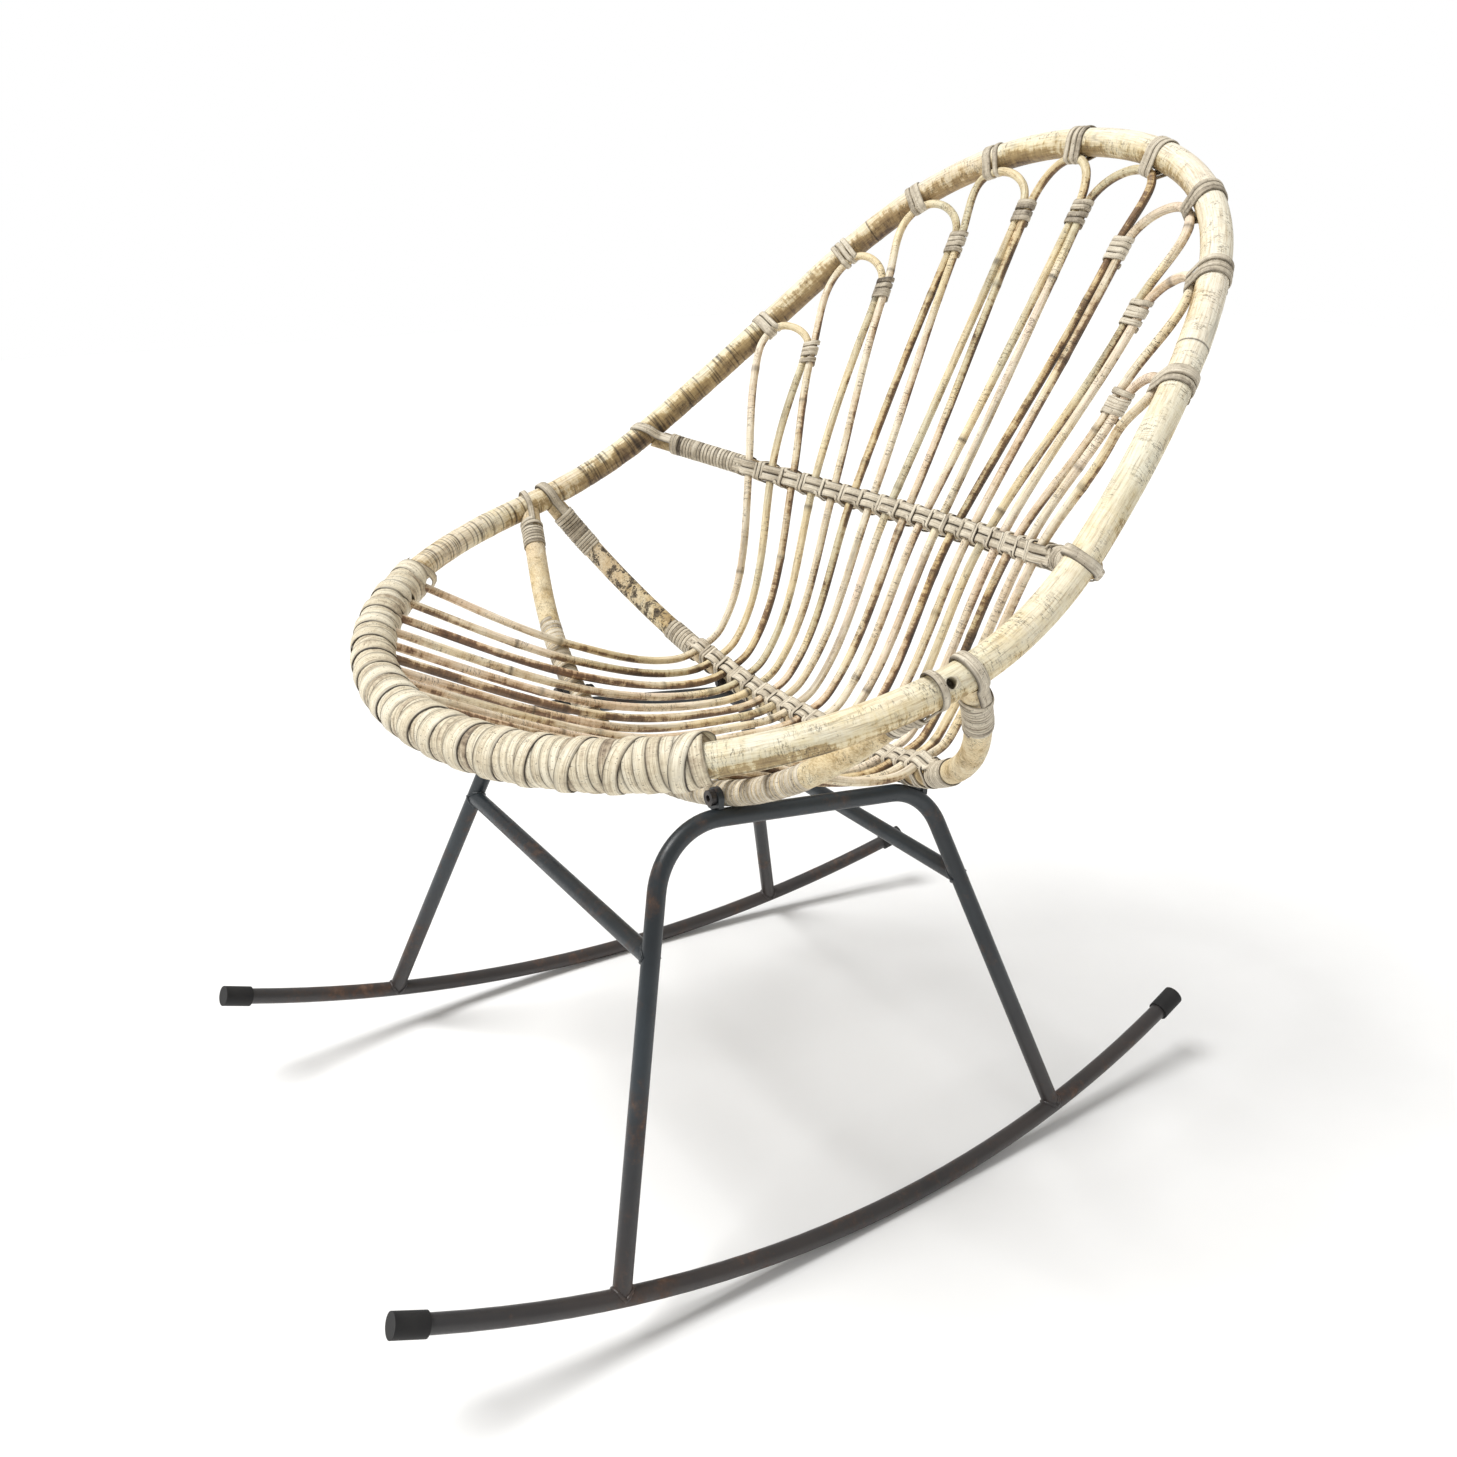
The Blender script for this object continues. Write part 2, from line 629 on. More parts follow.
peel_finish = split_cane("wide grey peel", 0.6, (0.0, 0.9, 0.83, 0.66), (0.42, 0.76, 0.67, 0.49),
                         (0.75, 0.46, 0.37, 0.26), (1.0, 0.2, 0.15, 0.1))
cane_finish = split_cane("thin grey cane", 0.65, (0.0, 0.8, 0.73, 0.59), (0.45, 0.6, 0.53, 0.41),
                         (0.75, 0.36, 0.31, 0.235), (1.0, 0.13, 0.105, 0.08))

# %% [markdown]
# The tubes are painted a near black that has gone dull, with rust where the paint has worn
# through and brown dust near the floor. The caps are black rubber, and the bolts are oiled
# steel. These pieces keep their plain shapes, so their finishes lie in object space.

# %% The steel and rubber finishes
paint, where = new_finish("black paint with rust"), in_object()
cloud, grit, fine = noise(where, 9, 6, 0.62), noise(where, 120, 4, 0.6), noise(where, 420, 3, 0.6)
height = add("SeparateXYZ", {"Vector": where}).outputs["Z"]
worn = maths("ADD", noise(where, 14, 8, 0.72), grey(height, 0.06, 0.2, 0.03, 0))
rust_at = times(grey(worn, 0.535, 0.65), grey(grit, 0.3, 0.6, 0.25, 1.0))
rust = ramp(grit, (0.3, 0.035, 0.02, 0.014), (0.55, 0.085, 0.045, 0.028), (0.8, 0.18, 0.11, 0.07))
dust = times(grey(height, 0.04, 0.2, 0.75, 0.0), grey(cloud, 0.35, 0.6, 0.5, 1.0))
black = ramp(cloud, (0.3, 0.011, 0.015, 0.019), (0.7, 0.028, 0.038, 0.046))
rough = maths("ADD", grey(fine, 0.3, 0.7, 0.32, 0.5), times(rust_at, 0.35))
surface(mixed(rust_at, mixed(dust, black, (0.05, 0.036, 0.03)), rust), rough,
        (rust_at, 0.4, 0.0005), (fine, 0.3, 0.0002), (grit, 0.15, 0.0004),
        Specular_IOR_Level=0.5, Coat_Weight=0.12, Coat_Roughness=0.3)

oiled, where = new_finish("oiled bolt steel"), in_object()
cloud, fine = noise(where, 90, 5, 0.6), noise(where, 600, 3, 0.5)
colour = ramp(cloud, (0.35, 0.03, 0.03, 0.032), (0.6, 0.09, 0.08, 0.075), (0.8, 0.2, 0.11, 0.06))
surface(colour, grey(fine, 0.3, 0.7, 0.3, 0.52), (fine, 0.25, 0.0002), (cloud, 0.2, 0.0004),
        Metallic=0.75)

rubber, where = new_finish("black cap rubber"), in_object()
cloud, fine = noise(where, 30, 5, 0.6), noise(where, 500, 3, 0.5)
colour = ramp(cloud, (0.3, 0.008, 0.008, 0.009), (0.7, 0.028, 0.027, 0.026))
surface(colour, grey(cloud, 0.3, 0.7, 0.55, 0.78), (fine, 0.3, 0.0002), Specular_IOR_Level=0.35)

PLAIN_FINISHES = {"rocker": paint, "side_frame": paint, "front_stretcher": paint,
                  "rear_stretcher": paint, "lug": paint, "bolt": oiled, "cap": rubber,
                  "front_rail": rail_bark, "back_bow": rail_bark, "rear_rail": rear_rail_bark}
for kind, finish in PLAIN_FINISHES.items():
    for node_name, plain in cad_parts.items():
        if re.fullmatch(kind + "(_front|_rear)?(_left|_right)?", node_name):
            for place in plain.material_slots:
                place.material = finish
print("finishes:", sorted({m.name for m in PLAIN_FINISHES.values()}))


def finished(piece, finish, slot_name, *stands_for):
    """Gives a piece its finish and says which plain nodes it stands for."""
    piece.data.materials.clear()
    piece.data.materials.append(finish)
    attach(piece, "root")
    if stands_for:
        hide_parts(*stands_for)


# %% [markdown]
# ## The rim
# The rim is one thick pole, steamed and bent to a closed egg. It swells at its nodes and has
# shallow dents. Near the front on the sitter's left its two ends meet in a long scarf, where
# a flat tan face shows. Along its right side the bark is torn in dark rings.

# %% The rim pole
RIM_SIDES = 32
RIM_NODES = (-138, -112, -88, -62, -20, 18, 120)
TORN_FROM, TORN_TO, TORN_RINGS = -118.0, -36.0, 380
SCARF_FROM, SCARF_TO, SCARF_FACE, SCARF_DEPTH = 43.5, 58.0, -26.0, 2.6
MM_PER_DEGREE = 7.2
rim_t = np.sort(np.concatenate(
    [np.linspace(-180, 180, 480, endpoint=False), np.linspace(TORN_FROM, TORN_TO, TORN_RINGS)]
    + [at + np.array([-0.31, -0.12, 0.05, 0.22]) for at in RIM_NODES]))
rim_angle = np.linspace(0, 360, RIM_SIDES, endpoint=False)

# Its radius, its dark marks and where the scarf's face cuts it, at each ring and side
rim_rad = (RIM_R - 0.35 + 0.18 * drift(rim_t, 9, 3)[:, None]
           + 0.12 * np.outer(drift(rim_t, 6, 4), cos(2 * rim_angle)))
rim_dark = np.zeros_like(rim_rad)
for at in RIM_NODES:
    off = ((rim_t - at) * MM_PER_DEGREE)[:, None]
    rim_rad += 0.25 * np.exp(-(off / 6.0) ** 2) - 0.3 * np.exp(-(off / 0.8) ** 2)
    rim_dark = np.maximum(rim_dark, np.exp(-(off / 0.8) ** 2))
rng = np.random.default_rng(55)
torn = (rim_t > TORN_FROM) & (rim_t < TORN_TO) & (rng.random(len(rim_t)) > 0.72)
torn = torn[:, None] * np.clip(cos(rim_angle - rng.uniform(60, 260, len(rim_t))[:, None]) * 1.5, 0, 1)
rim_dark = np.maximum(rim_dark, 0.85 * torn)
rim_rad -= 0.35 * torn
within = np.clip(np.minimum(rim_t - SCARF_FROM, SCARF_TO - rim_t) / 2.0, 0, 1)[:, None]
flat = (RIM_R - SCARF_DEPTH * within) / np.maximum(cos(rim_angle - SCARF_FACE), 0.3)
rim_cut = (flat < rim_rad) & (within > 0)
rim_rad = np.minimum(rim_rad, flat)

rim_back = np.clip((np.abs(rim_t - 20) - 80) / 25, 0, 1)[:, None]
rim_inner, rim_low = cos(rim_angle - 205), cos(rim_angle + 70)
rim_tone = (0.2 + 0.13 * drift(rim_t, 14, 8)[:, None]
            + rim_back * (0.08 + 0.42 * rim_inner) + (1 - rim_back) * 0.3 * np.clip(rim_low, 0, 1)
            + 0.14 * np.clip(-rim_t / 50, 0, 1)[:, None] * np.clip((150 + rim_t) / 30, 0, 1)[:, None])
rim_tone = np.where(rim_cut, 0.56, rim_tone)
rim_dark = np.maximum(rim_dark, 0.8 * (rim_cut & ~np.roll(rim_cut, 1, 1)))
rim_pole = pole("rim_pole", each(rim_pt, rim_t), rim_rad, RIM_SIDES, None, rim_tone, rim_dark,
                closed=True, axes=(-each(rim_in, rim_t), each(rim_up, rim_t)))
finished(rim_pole, rim_bark, "rim_rattan", "rim")
print("rim pole: %d faces" % len(rim_pole.data.polygons))

# %% [markdown]
# The hole is cut with a Boolean: a short cylinder stands in the pole where the drill went
# and is taken away from it. The modifier is applied, so the hole is real geometry.

# %% Drill the blind hole
HOLE_AT, HOLE_R, HOLE_DEEP, BIT_ABOVE = 70.4, 4.2, 9.0, 6.0
EYE = np.array([964.0, -606.0, 792.0])


def drill(piece, at, radius, deep):
    """Cuts a hole of a radius into a pole on the rim's line and marks its wall as dark."""
    centre, way = rim_pt(at), rim_dir(at)
    aim = unit(square_to(way, EYE - centre))
    low, high = (stood(centre + aim * (RIM_R + above)) for above in (-deep, BIT_ABOVE))
    choose()
    bpy.ops.mesh.primitive_cylinder_add(
        vertices=24, radius=radius / 1000, depth=float(np.linalg.norm(high - low)),
        location=tuple((low + high) / 2),
        rotation=Vector(high - low).to_track_quat("Z", "Y").to_euler())
    bit = bpy.context.object
    choose(piece)
    cut = piece.modifiers.new("hole", "BOOLEAN")
    cut.object, cut.operation, cut.solver = bit, "DIFFERENCE", "EXACT"
    bpy.ops.object.modifier_apply(modifier=cut.name)
    bpy.data.objects.remove(bit, do_unlink=True)
    spots = corner_places(piece) - stood(centre)
    axis = unit(high - low)
    deep_in = spots @ axis
    off = np.linalg.norm(spots - deep_in[:, None] * axis, axis=1)
    marks = piece.data.attributes["mark"].data
    dark = np.empty(len(spots))
    marks.foreach_get("value", dark)
    dark[(off < (radius + 0.02) / 1000) & (deep_in > 0) & (deep_in < (RIM_R - 4) / 1000)] = 1.0
    marks.foreach_set("value", dark)


drill(rim_pole, HOLE_AT, HOLE_R, HOLE_DEEP)
print("rim pole after drilling: %d faces" % len(rim_pole.data.polygons))

# %% [markdown]
# ## The rods
# Nine thin sticks, bent double. Their colours differ from stick to stick and change along
# each one, from ivory to straw, orange and dark brown. Nodes come every two hands or so.

# %% The hairpin rods
ROD_SIDES, ROD_STEP = 14, 3.0
ROD_TONES = ((0.16, 0.2), (0.08, 0.3), (0.3, 0.1), (0.12, 0.34), (0.2, 0.14), (0.05, 0.24),
             (0.36, 0.12), (0.1, 0.3), (0.22, 0.12))


def resampled(line, step):
    """The line with places at even steps, and how far along each of them is."""
    along = length_along(line)
    spots = np.linspace(0, along[-1], int(along[-1] / step) + 1)
    return np.stack([np.interp(spots, along, line[:, i]) for i in range(3)], -1), spots


def smoothed(line, passes):
    for _ in range(passes):
        line[1:-1] = (line[:-2] + 2 * line[1:-1] + line[2:]) / 4
    return line


def mirror_x(v, side):
    return v * np.array([side, 1, 1])


def rod(number):
    line = mirror_x(hairpin(abs(5 - number)), -1 if number > 5 else 1)
    line, along = resampled(line, ROD_STEP)
    rng = np.random.default_rng(40 + number)
    radius = ROD_R - 0.15 + 0.12 * drift(line, 12, number)
    dark = np.zeros(len(line))
    at = rng.uniform(60, 200)
    while at < along[-1] - 40:
        radius = radius + 0.3 * np.exp(-((along - at) / 4.0) ** 2)
        dark = np.maximum(dark, rng.uniform(0.6, 1.0) * np.exp(-((along - at) / 1.9) ** 2))
        at += rng.uniform(150, 270)
    first, second = ROD_TONES[number - 1]
    tone = first + (second - first) * np.clip((along / along[-1] - 0.45) / 0.1, 0, 1)
    tone = tone + 0.16 * drift(line, 43, 70 + number)
    angle = np.linspace(0, 2 * np.pi, ROD_SIDES, endpoint=False)
    turn = np.cumsum(rng.normal(0, 0.03, len(line))) + rng.uniform(0, 6)
    side = np.maximum(0, np.cos(angle - turn[:, None])) ** 6
    stain = np.clip(drift(line, 20, 90 + number), 0, 1)[:, None] * side * 0.55
    return pole("rod_%d" % number, smoothed(line, 4), radius[:, None], ROD_SIDES, (1, 0, 0),
                tone[:, None], np.clip(dark[:, None] + stain, 0, 1), seed=number, shade=0.37)


for number in range(1, 10):
    finished(rod(number), rod_bark, "rod_rattan", "hairpin_%d" % number)
print("rods:", number)

# %% [markdown]
# Under the rods' front ends lies a thin pole, the batten, against the inside of the rim. The
# peel hides most of it.

# %% The front batten
BATTEN_IN, BATTEN_DOWN = 16.27, ROD_LIFT - ROD_R - SEAT_GAP - BATTEN_R
batten_end = rim_at(PITCH_FRONT * 9)
batten_line = each(lambda t: rim_pt(t) + front_n(t) * BATTEN_DOWN + front_h(t) * BATTEN_IN,
                   np.linspace(-batten_end, batten_end, 90))
batten = pole("front_batten_pole", batten_line, BATTEN_R - 0.1, 12, (0, 0, 1), 0.35, 0.15, seed=21)
finished(batten, rod_bark, "rod_rattan", "front_batten")

# %% [markdown]
# ## The peel round the front
# A long peel is wound round the rim, the batten and the rods' ends, five turns between each
# two rods. The turns are bunched where they pass between the rods and even out below. Each
# turn's edge lies on the one before, like shingles.

# %% The wound peel
WRAP_R, WRAP_OUT = 17.9, (3.3, 2.2)
LEAVE = math.degrees(math.asin((ROD_LIFT - WRAP_OUT[1]) / WRAP_R))
TURNS_PER_GAP, GAPS = 5, 9
WRAP_X = np.linspace(-285, 285, 571)
WRAP_T = np.sign(WRAP_X) * rim_at(np.abs(WRAP_X), RIM_R + BATTEN_R)
WRAP_STEP = np.linspace(-75, 75, 601)
WRAP_TABLE = [each(f, WRAP_STEP) for f in (rim_pt, front_h, front_n)]
PEEL_REACH = 0.97


def looked_up(spots, table, wanted):
    """Rows of a table at the spots that are wanted, between those that it has."""
    return np.stack([np.interp(wanted, spots, table[:, i]) for i in range(3)], -1)


def wrap_line(q, angle, radius):
    """Places round the rim, batten and rods' ends; q counts the rods' gaps from the middle."""
    t = np.interp(q * PITCH_FRONT, WRAP_X, WRAP_T)
    centre, e1, e2 = (looked_up(WRAP_STEP, table, t) for table in WRAP_TABLE)
    out = turned(np.radians(angle), e1, e2)
    return centre + e1 * WRAP_OUT[0] + e2 * WRAP_OUT[1] + out * radius[:, None], out


def wound_peel():
    turns = GAPS * TURNS_PER_GAP
    v = np.linspace(-turns, turns, 2 * turns * 26 + 1) * PEEL_REACH
    angle = 360 * v + LEAVE
    home = np.rint(v / TURNS_PER_GAP)
    near = np.exp(-(((angle - LEAVE + 180) % 360 - 180) / 38) ** 2)
    q = home + (v / TURNS_PER_GAP - home) * (1 - 0.42 * near)
    wobble = drift(v, 9, 11)
    line, out = wrap_line(q, angle, WRAP_R - 0.5 + 0.35 * wobble + 0.5 * drift(v, 60, 12))
    rim_step = np.gradient(WRAP_TABLE[0], axis=0)
    spread = np.interp(np.interp(q * PITCH_FRONT, WRAP_X, WRAP_T), WRAP_STEP,
                       np.linalg.norm(rim_step, axis=1) / np.maximum(np.abs(rim_step[:, 0]), 1e-6))
    width = PITCH_FRONT / TURNS_PER_GAP * spread * 1.12 * (1 - 0.2 * near) + 0.3 * wobble
    tone = 0.34 + 0.26 * drift(v, 33, 13) + 0.1 * wobble
    return strip("front_peel", line, out, width, 1.0, tone, seed=3, tilt=4.0, dirt=0.95)


finished(wound_peel(), peel_finish, "cane", "front_binding")

# %% [markdown]
# One broad band goes over each rod's end. It starts as a pointed tongue on top of the rod and
# ends below, and its free edge casts the dark line that makes the front look scaled.

# %% The broad bands over the rods' ends
BAND_WIDE, BAND_SLIM, LAST_WIDE = 17.5, 11.0, 4


def broad_band(k):
    rng = np.random.default_rng(200 + k)
    f = np.linspace(0, 1, 44)
    angle = LEAVE + 8 + rng.uniform(-6, 10) + f * 285
    q = (k + 0.5) + 0.26 - 0.5 * f + 0.05 * np.sin(f * 6 + k)
    line, out = wrap_line(q, angle,
                          WRAP_R + 0.45 + 0.3 * np.sin(np.pi * f) - 0.9 * np.clip(f * 6 - 5, 0, 1))
    tip = np.clip(f / 0.09, 0.06, 1) ** 0.6 * np.clip((1 - f) / 0.08, 0.1, 1) ** 0.5
    width = (BAND_WIDE if k <= LAST_WIDE else BAND_SLIM) + rng.uniform(-1.5, 2.0)
    tone = 0.22 + rng.uniform(-0.1, 0.18)
    return strip("band", line, out, width, 1.1, tone, seed=30 + k, tip=tip, tilt=2.5, dirt=1.2)


bands = joined("front_bands", [broad_band(k) for k in range(-GAPS, GAPS)])
finished(bands, peel_finish, "cane")
print("broad bands:", 2 * GAPS)

# %% [markdown]
# ## Ties
# Thin cane holds the loops to the rim and ties neighbouring rods in pairs. A tie is a coil
# pulled tight round two sticks, which makes it round at the ends and straight between.

# %% Coils round two sticks
def coil(centre, way, e1, r1, r2, apart, turns, width, seed):
    """Turns of cane round a stick at the centre and another one apart from it along e1."""
    v = np.linspace(-turns / 2, turns / 2, turns * 30 + 1)
    place, out = round_sticks(2 * np.pi * v + 1.0, [((0, 0), r1), ((apart, 0), r2)])
    e2 = np.cross(way, e1)
    out = on_axes(out, e1, e2)
    onward = width * 1.06 * v + 0.3 * width * drift(v, 20, seed)
    lift = 0.12 + 0.1 * drift(v, 12, seed + 1)[:, None]
    line = centre + on_axes(place, e1, e2) + onward[:, None] * way + lift * out
    tone = np.random.default_rng(seed).uniform(0.25, 0.6) + 0.15 * drift(v, 15, seed + 2)
    return strip("tie", line, out, width, 1.5, tone, seed=seed)


def loop_tie(j, side):
    t = LOOP_AT[j] * side
    return coil(rim_pt(t), rim_dir(t), rim_in(t), RIM_R - 0.1, ROD_R,
                RIM_R + ROD_R + SEAT_GAP - 0.1, 3, 5.4, 300 + 10 * j + side)


def pair_tie(j, side):
    """Turns round the two rods where they come together."""
    inner, _ = leg(2 * j + 1)
    way = mirror_x(unit(inner[-1] - inner[-2]), side)
    across = unit(square_to(way, np.array([1, 0, 0])))
    middle = mirror_x(pair_pt(j, 0), side) - across * (ROD_R + SEAT_GAP)
    return coil(middle - way * 4, way, across, ROD_R + 0.1, ROD_R + 0.1,
                2 * (ROD_R + SEAT_GAP), 4, 5.0, 400 + 10 * j + side)


loop_sides = [(j, s) for j in range(5) for s in ((1, -1) if j else (1,))]
loop_ties = joined("loop_ties", [loop_tie(j, s) for j, s in loop_sides])
finished(loop_ties, cane_finish, "cane", "loop_bindings")
pair_ties = joined("pair_ties", [pair_tie(j, s) for j in range(4) for s in (1, -1)])
finished(pair_ties, cane_finish, "cane", "pair_bindings")
print("ties: %d loops, 8 pairs" % len(loop_sides))

# %% [markdown]
# ## Straps and end windings
# Each rail ends under the rim. A wide strap of cane comes up one side of the pole, goes over
# the rim and down the other side, and a tight winding on the pole holds both its tails.

# %% The straps over the rim
STRAP_LEN, TAIL_GAP = 28.0, 0.8
# A rail, where its end meets the rim, in degrees, and how far it lies behind the rim there
RAIL_ENDS = ((FRONT_RAIL, 70, 0), (REAR_RAIL, 73.5, 0), (BOW, 91.7, 10.0))
STRAP_LOOKS = ((6.0, 1.6, -5.5), (10.0, 2.9, 1.0), (9.5, 3.0, 0.0))


def strap_frame(end):
    """The pole's direction, the strap's axis, the way across both and the place of the loop."""
    q, at, behind = end
    d = unit(rail_pt(q, q.reach) - rail_pt(q, back_x(q, STRAP_LEN)))
    t = rim_dir(at)
    axis = unit(square_to(d, t))
    return d, axis, np.cross(axis, d), rim_pt(at) - axis * (behind * (rim_up(at) @ axis))


def strap(end, looks, side, seed):
    """Up one side of the pole, close round the rim and down the other side."""
    q, at, behind = end
    wide, thick, aside = looks
    d, axis, across, origin = strap_frame(end)
    t = rim_dir(at)
    angle = np.radians(np.linspace(-128, 128, 60))
    u = turned(angle, d, across)
    off = u - (u @ t)[:, None] * t
    size = np.linalg.norm(off, axis=1)[:, None]
    middle = -behind * (rim_up(at) @ across)
    tail = np.linspace(STRAP_LEN, 12, 9)[:, None] * -d
    down, up = (tail + across * (middle + m * (q.r + TAIL_GAP)) for m in (1, -1))
    place = smoothed(np.concatenate([up, u * ((RIM_R + SEAT_GAP) / size), down[::-1]]), 3)
    outs = smoothed(np.concatenate([np.tile(-across, (9, 1)), off / size, np.tile(across, (9, 1))]), 3)
    sway = np.concatenate([np.zeros(9), np.cos(angle * 0.7), np.zeros(9)])
    sway = np.convolve(np.pad(sway, 4, mode="edge"), np.ones(9) / 9, mode="valid")
    if side > 0 and aside < 0:
        aside = aside * 3
    place = origin + (aside * sway)[:, None] * axis + place
    return strip("strap", mirror_x(place, side), mirror_x(unit(outs), side), wide, thick,
                 0.3 + 0.15 * drift(place, 8, seed), seed=seed, dirt=1.0)


straps = joined("rim_straps", [strap(end, STRAP_LOOKS[i], side, 500 + 10 * i + side)
                               for i, end in enumerate(RAIL_ENDS) for side in (1, -1)])
finished(straps, cane_finish, "cane", "rail_straps")


# %% The windings on the rails' ends
def pole_coil(q, x_from, x_to, side, width, seed, sink=0.0, thick=1.0, grip=None, bulge=0.0):
    """Turns of cane on a rail between two distances from the middle. They bulge by as much
    where they hold something down, along the grip direction."""
    xs = np.linspace(x_from, x_to, 60)
    along = length_along(each(rail_pt, xs, q))
    turns = max(1.5, along[-1] / (width * 1.07))
    v = np.linspace(0, turns, int(turns * 26))
    line, outs = [], []
    bumps = drift(v, 11, seed)
    for a, x, lump in zip(v, np.interp(v / turns * along[-1], along, xs), bumps):
        d = rail_dir(q, x)
        e1 = unit(np.cross(d, np.cross([0, 0, 1], d)))
        out = np.cos(2 * np.pi * a) * e1 + np.sin(2 * np.pi * a) * np.cross(d, e1)
        over = 0.0 if grip is None else bulge * (out @ grip) ** 4
        line.append(rail_pt(q, x) + out * (q.r - sink + 0.25 + 0.15 * lump + over))
        outs.append(out)
    tone = 0.42 + 0.32 * drift(v, 26, seed + 5) + 0.1 * bumps
    return strip("coil", mirror_x(line, side), mirror_x(outs, side), width, thick, tone,
                 seed=seed, tilt=3.0, dirt=0.85)


end_coils = []
for i, end in enumerate(RAIL_ENDS):
    q = end[0]
    start, held, free, last = (back_x(q, STRAP_LEN + s) for s in (-4, 2, 1, 24))
    for side in (1, -1):
        end_coils += [pole_coil(q, start, held, side, 4.0, 600 + 20 * i + side, thick=1.2,
                                grip=strap_frame(end)[2], bulge=TAIL_GAP + STRAP_LOOKS[i][1]),
                      pole_coil(q, free, last, side, 3.2, 610 + 20 * i + side)]
finished(joined("rail_end_coils", end_coils), cane_finish, "cane", "rail_end_windings")
print("end windings:", len(end_coils))

# %% [markdown]
# The rails are wound in more places: the bow's arms up to the first rods, the rear rail beside
# its outermost rods, and the front rail under all the rods. These last turns sink a little
# into the pole, so that the rods still lie on them.

# %% More windings along the rails
MORE_WINDINGS = ((BOW, back_x(BOW, STRAP_LEN + 20), BOW.pitch * 8.8, 3.7, 0),
                 (REAR_RAIL, 222, REAR_RAIL.pitch * 9, 3.8, 0), (FRONT_RAIL, 220, 2, 5.2, 0.9),
                 (REAR_RAIL, *(back_x(REAR_RAIL, STRAP_LEN + s) for s in (20, 42)), 3.2, 0))
more = [pole_coil(q, start, stop, side, width, 800 + 10 * i + side, sink)
        for side in (1, -1) for i, (q, start, stop, width, sink) in enumerate(MORE_WINDINGS)]
finished(joined("rail_coils", more), cane_finish, "cane")
print("more windings:", len(more))

# %% [markdown]
# ## The lashings
# Along the rear rail and the bow two flat canes lie across the rods. A thinner cane is wound
# round it all, two turns in each gap, and pulls them down between the rods. It steps to the
# next gap behind the rail, where it can't be seen.

# %% The flat canes
FLAT_DIP, FLAT_W, FLAT_THICK, FLAT_APART = 4.4, 7.4, 1.6, 7.7
LAST_ROD, PAST_ROD = 8.64, 0.34


def eased(f):
    f = np.clip(f, 0, 1)
    return f * f * (3 - 2 * f)


def past_rods(places):
    """0 over the rods, 1 beyond the outermost one; places count the rods' gaps."""
    return eased((np.abs(places) - LAST_ROD) / PAST_ROD)


def flat_cane(q, seed, shift):
    """One of the two canes that lie side by side over the rods and dip between them."""
    xs = np.linspace(-9.25, 9.25, 18 * 12) * q.pitch
    n = each(off_rail, xs, q)
    side = np.cross(each(rail_dir, xs, q), n)
    dip = ((1 + np.cos(2 * np.pi * xs / q.pitch)) / 2) ** 1.5 * FLAT_DIP
    rise = q.r + 2 * ROD_R + 3 * SEAT_GAP - dip + 0.2 * drift(xs, 8, seed)
    rise += (q.r - 0.3 - rise) * past_rods(xs / q.pitch)
    line = each(rail_pt, xs, q) + n * rise[:, None] + side * shift
    return strip("flat", line, n, FLAT_W, FLAT_THICK, 0.25 + 0.25 * drift(xs, 7, seed),
                 seed=seed, dirt=1.1)


for piece_name, node, rail in (("rear_flat_canes", "rear_rail_strip", REAR_RAIL),
                               ("bow_flat_canes", "bow_strip", BOW)):
    pair = [flat_cane(rail, 71 + i, (i - 0.5) * FLAT_APART) for i in (0, 1)]
    finished(joined(piece_name, pair), cane_finish, "cane", node)
print("flat canes: 4")


# %% The lashing cane
LASH_PINCH, LASH_W, LASH_THICK, LASHES_PER_GAP = 0.7, 4.0, 1.7, 2


def lashing(name, q, seed):
    """Turns round rail, rods and flat canes, drawn together in the middle of each gap."""
    turns = 9 * LASHES_PER_GAP
    v = np.linspace(-turns, turns, 2 * turns * 28 + 1)
    angle = 2 * np.pi * v
    home = np.rint(v / LASHES_PER_GAP)
    near = eased((np.cos(angle) + 0.55) / 0.8)
    f = home + (v / LASHES_PER_GAP - home) * (1 - LASH_PINCH * near)
    high = q.r + 2 * ROD_R + 4 * SEAT_GAP + FLAT_THICK + 0.4 - FLAT_DIP
    high = high + (q.r + FLAT_THICK - high) * past_rods(np.abs(f) + 0.12)
    place, out = round_sticks(angle, [((0, 0), q.r + 0.2), ((high - 2, FLAT_W - 1.6), 2.0),
                                      ((high - 2, 1.6 - FLAT_W), 2.0)])
    xs = np.linspace(-9.1, 9.1, 400) * q.pitch
    base, way, e1 = (looked_up(xs, each(of_rail, xs, q), f * q.pitch)
                     for of_rail in (rail_pt, rail_dir, off_rail))
    e1 = unit(e1)
    e2 = np.cross(unit(way), e1)
    out = on_axes(out, e1, e2)
    lump = 0.25 * drift(v, 10, seed)[:, None] + 0.1
    return strip(name, base + on_axes(place, e1, e2) + lump * out, out,
                 LASH_W + 0.3 * drift(v, 30, seed + 2), LASH_THICK,
                 0.26 + 0.25 * drift(v, 45, seed + 1), seed=seed, dirt=1.1)


finished(lashing("rear_lashing", REAR_RAIL, 81), cane_finish, "cane", "rear_rail_lashing")
finished(lashing("bow_lashing_cane", BOW, 86), cane_finish, "cane", "bow_lashing")
print("lashings:", 2)

# %% [markdown]
# ## Welds
# A bead of weld runs round each joint of the tubes. Its middle line is where the surface of
# one tube meets the other: from each side of the smaller tube a straight line is followed
# until it meets the bigger one.

# %% The weld beads
FRAME_X, SLANT, TOE = 251.0, 17.7, 1.7
SIDE_U = np.array([-sin(TOE), cos(TOE), 0])
SIDE_V = np.array([-sin(SLANT) * cos(TOE), -sin(SLANT) * sin(TOE), cos(SLANT)])
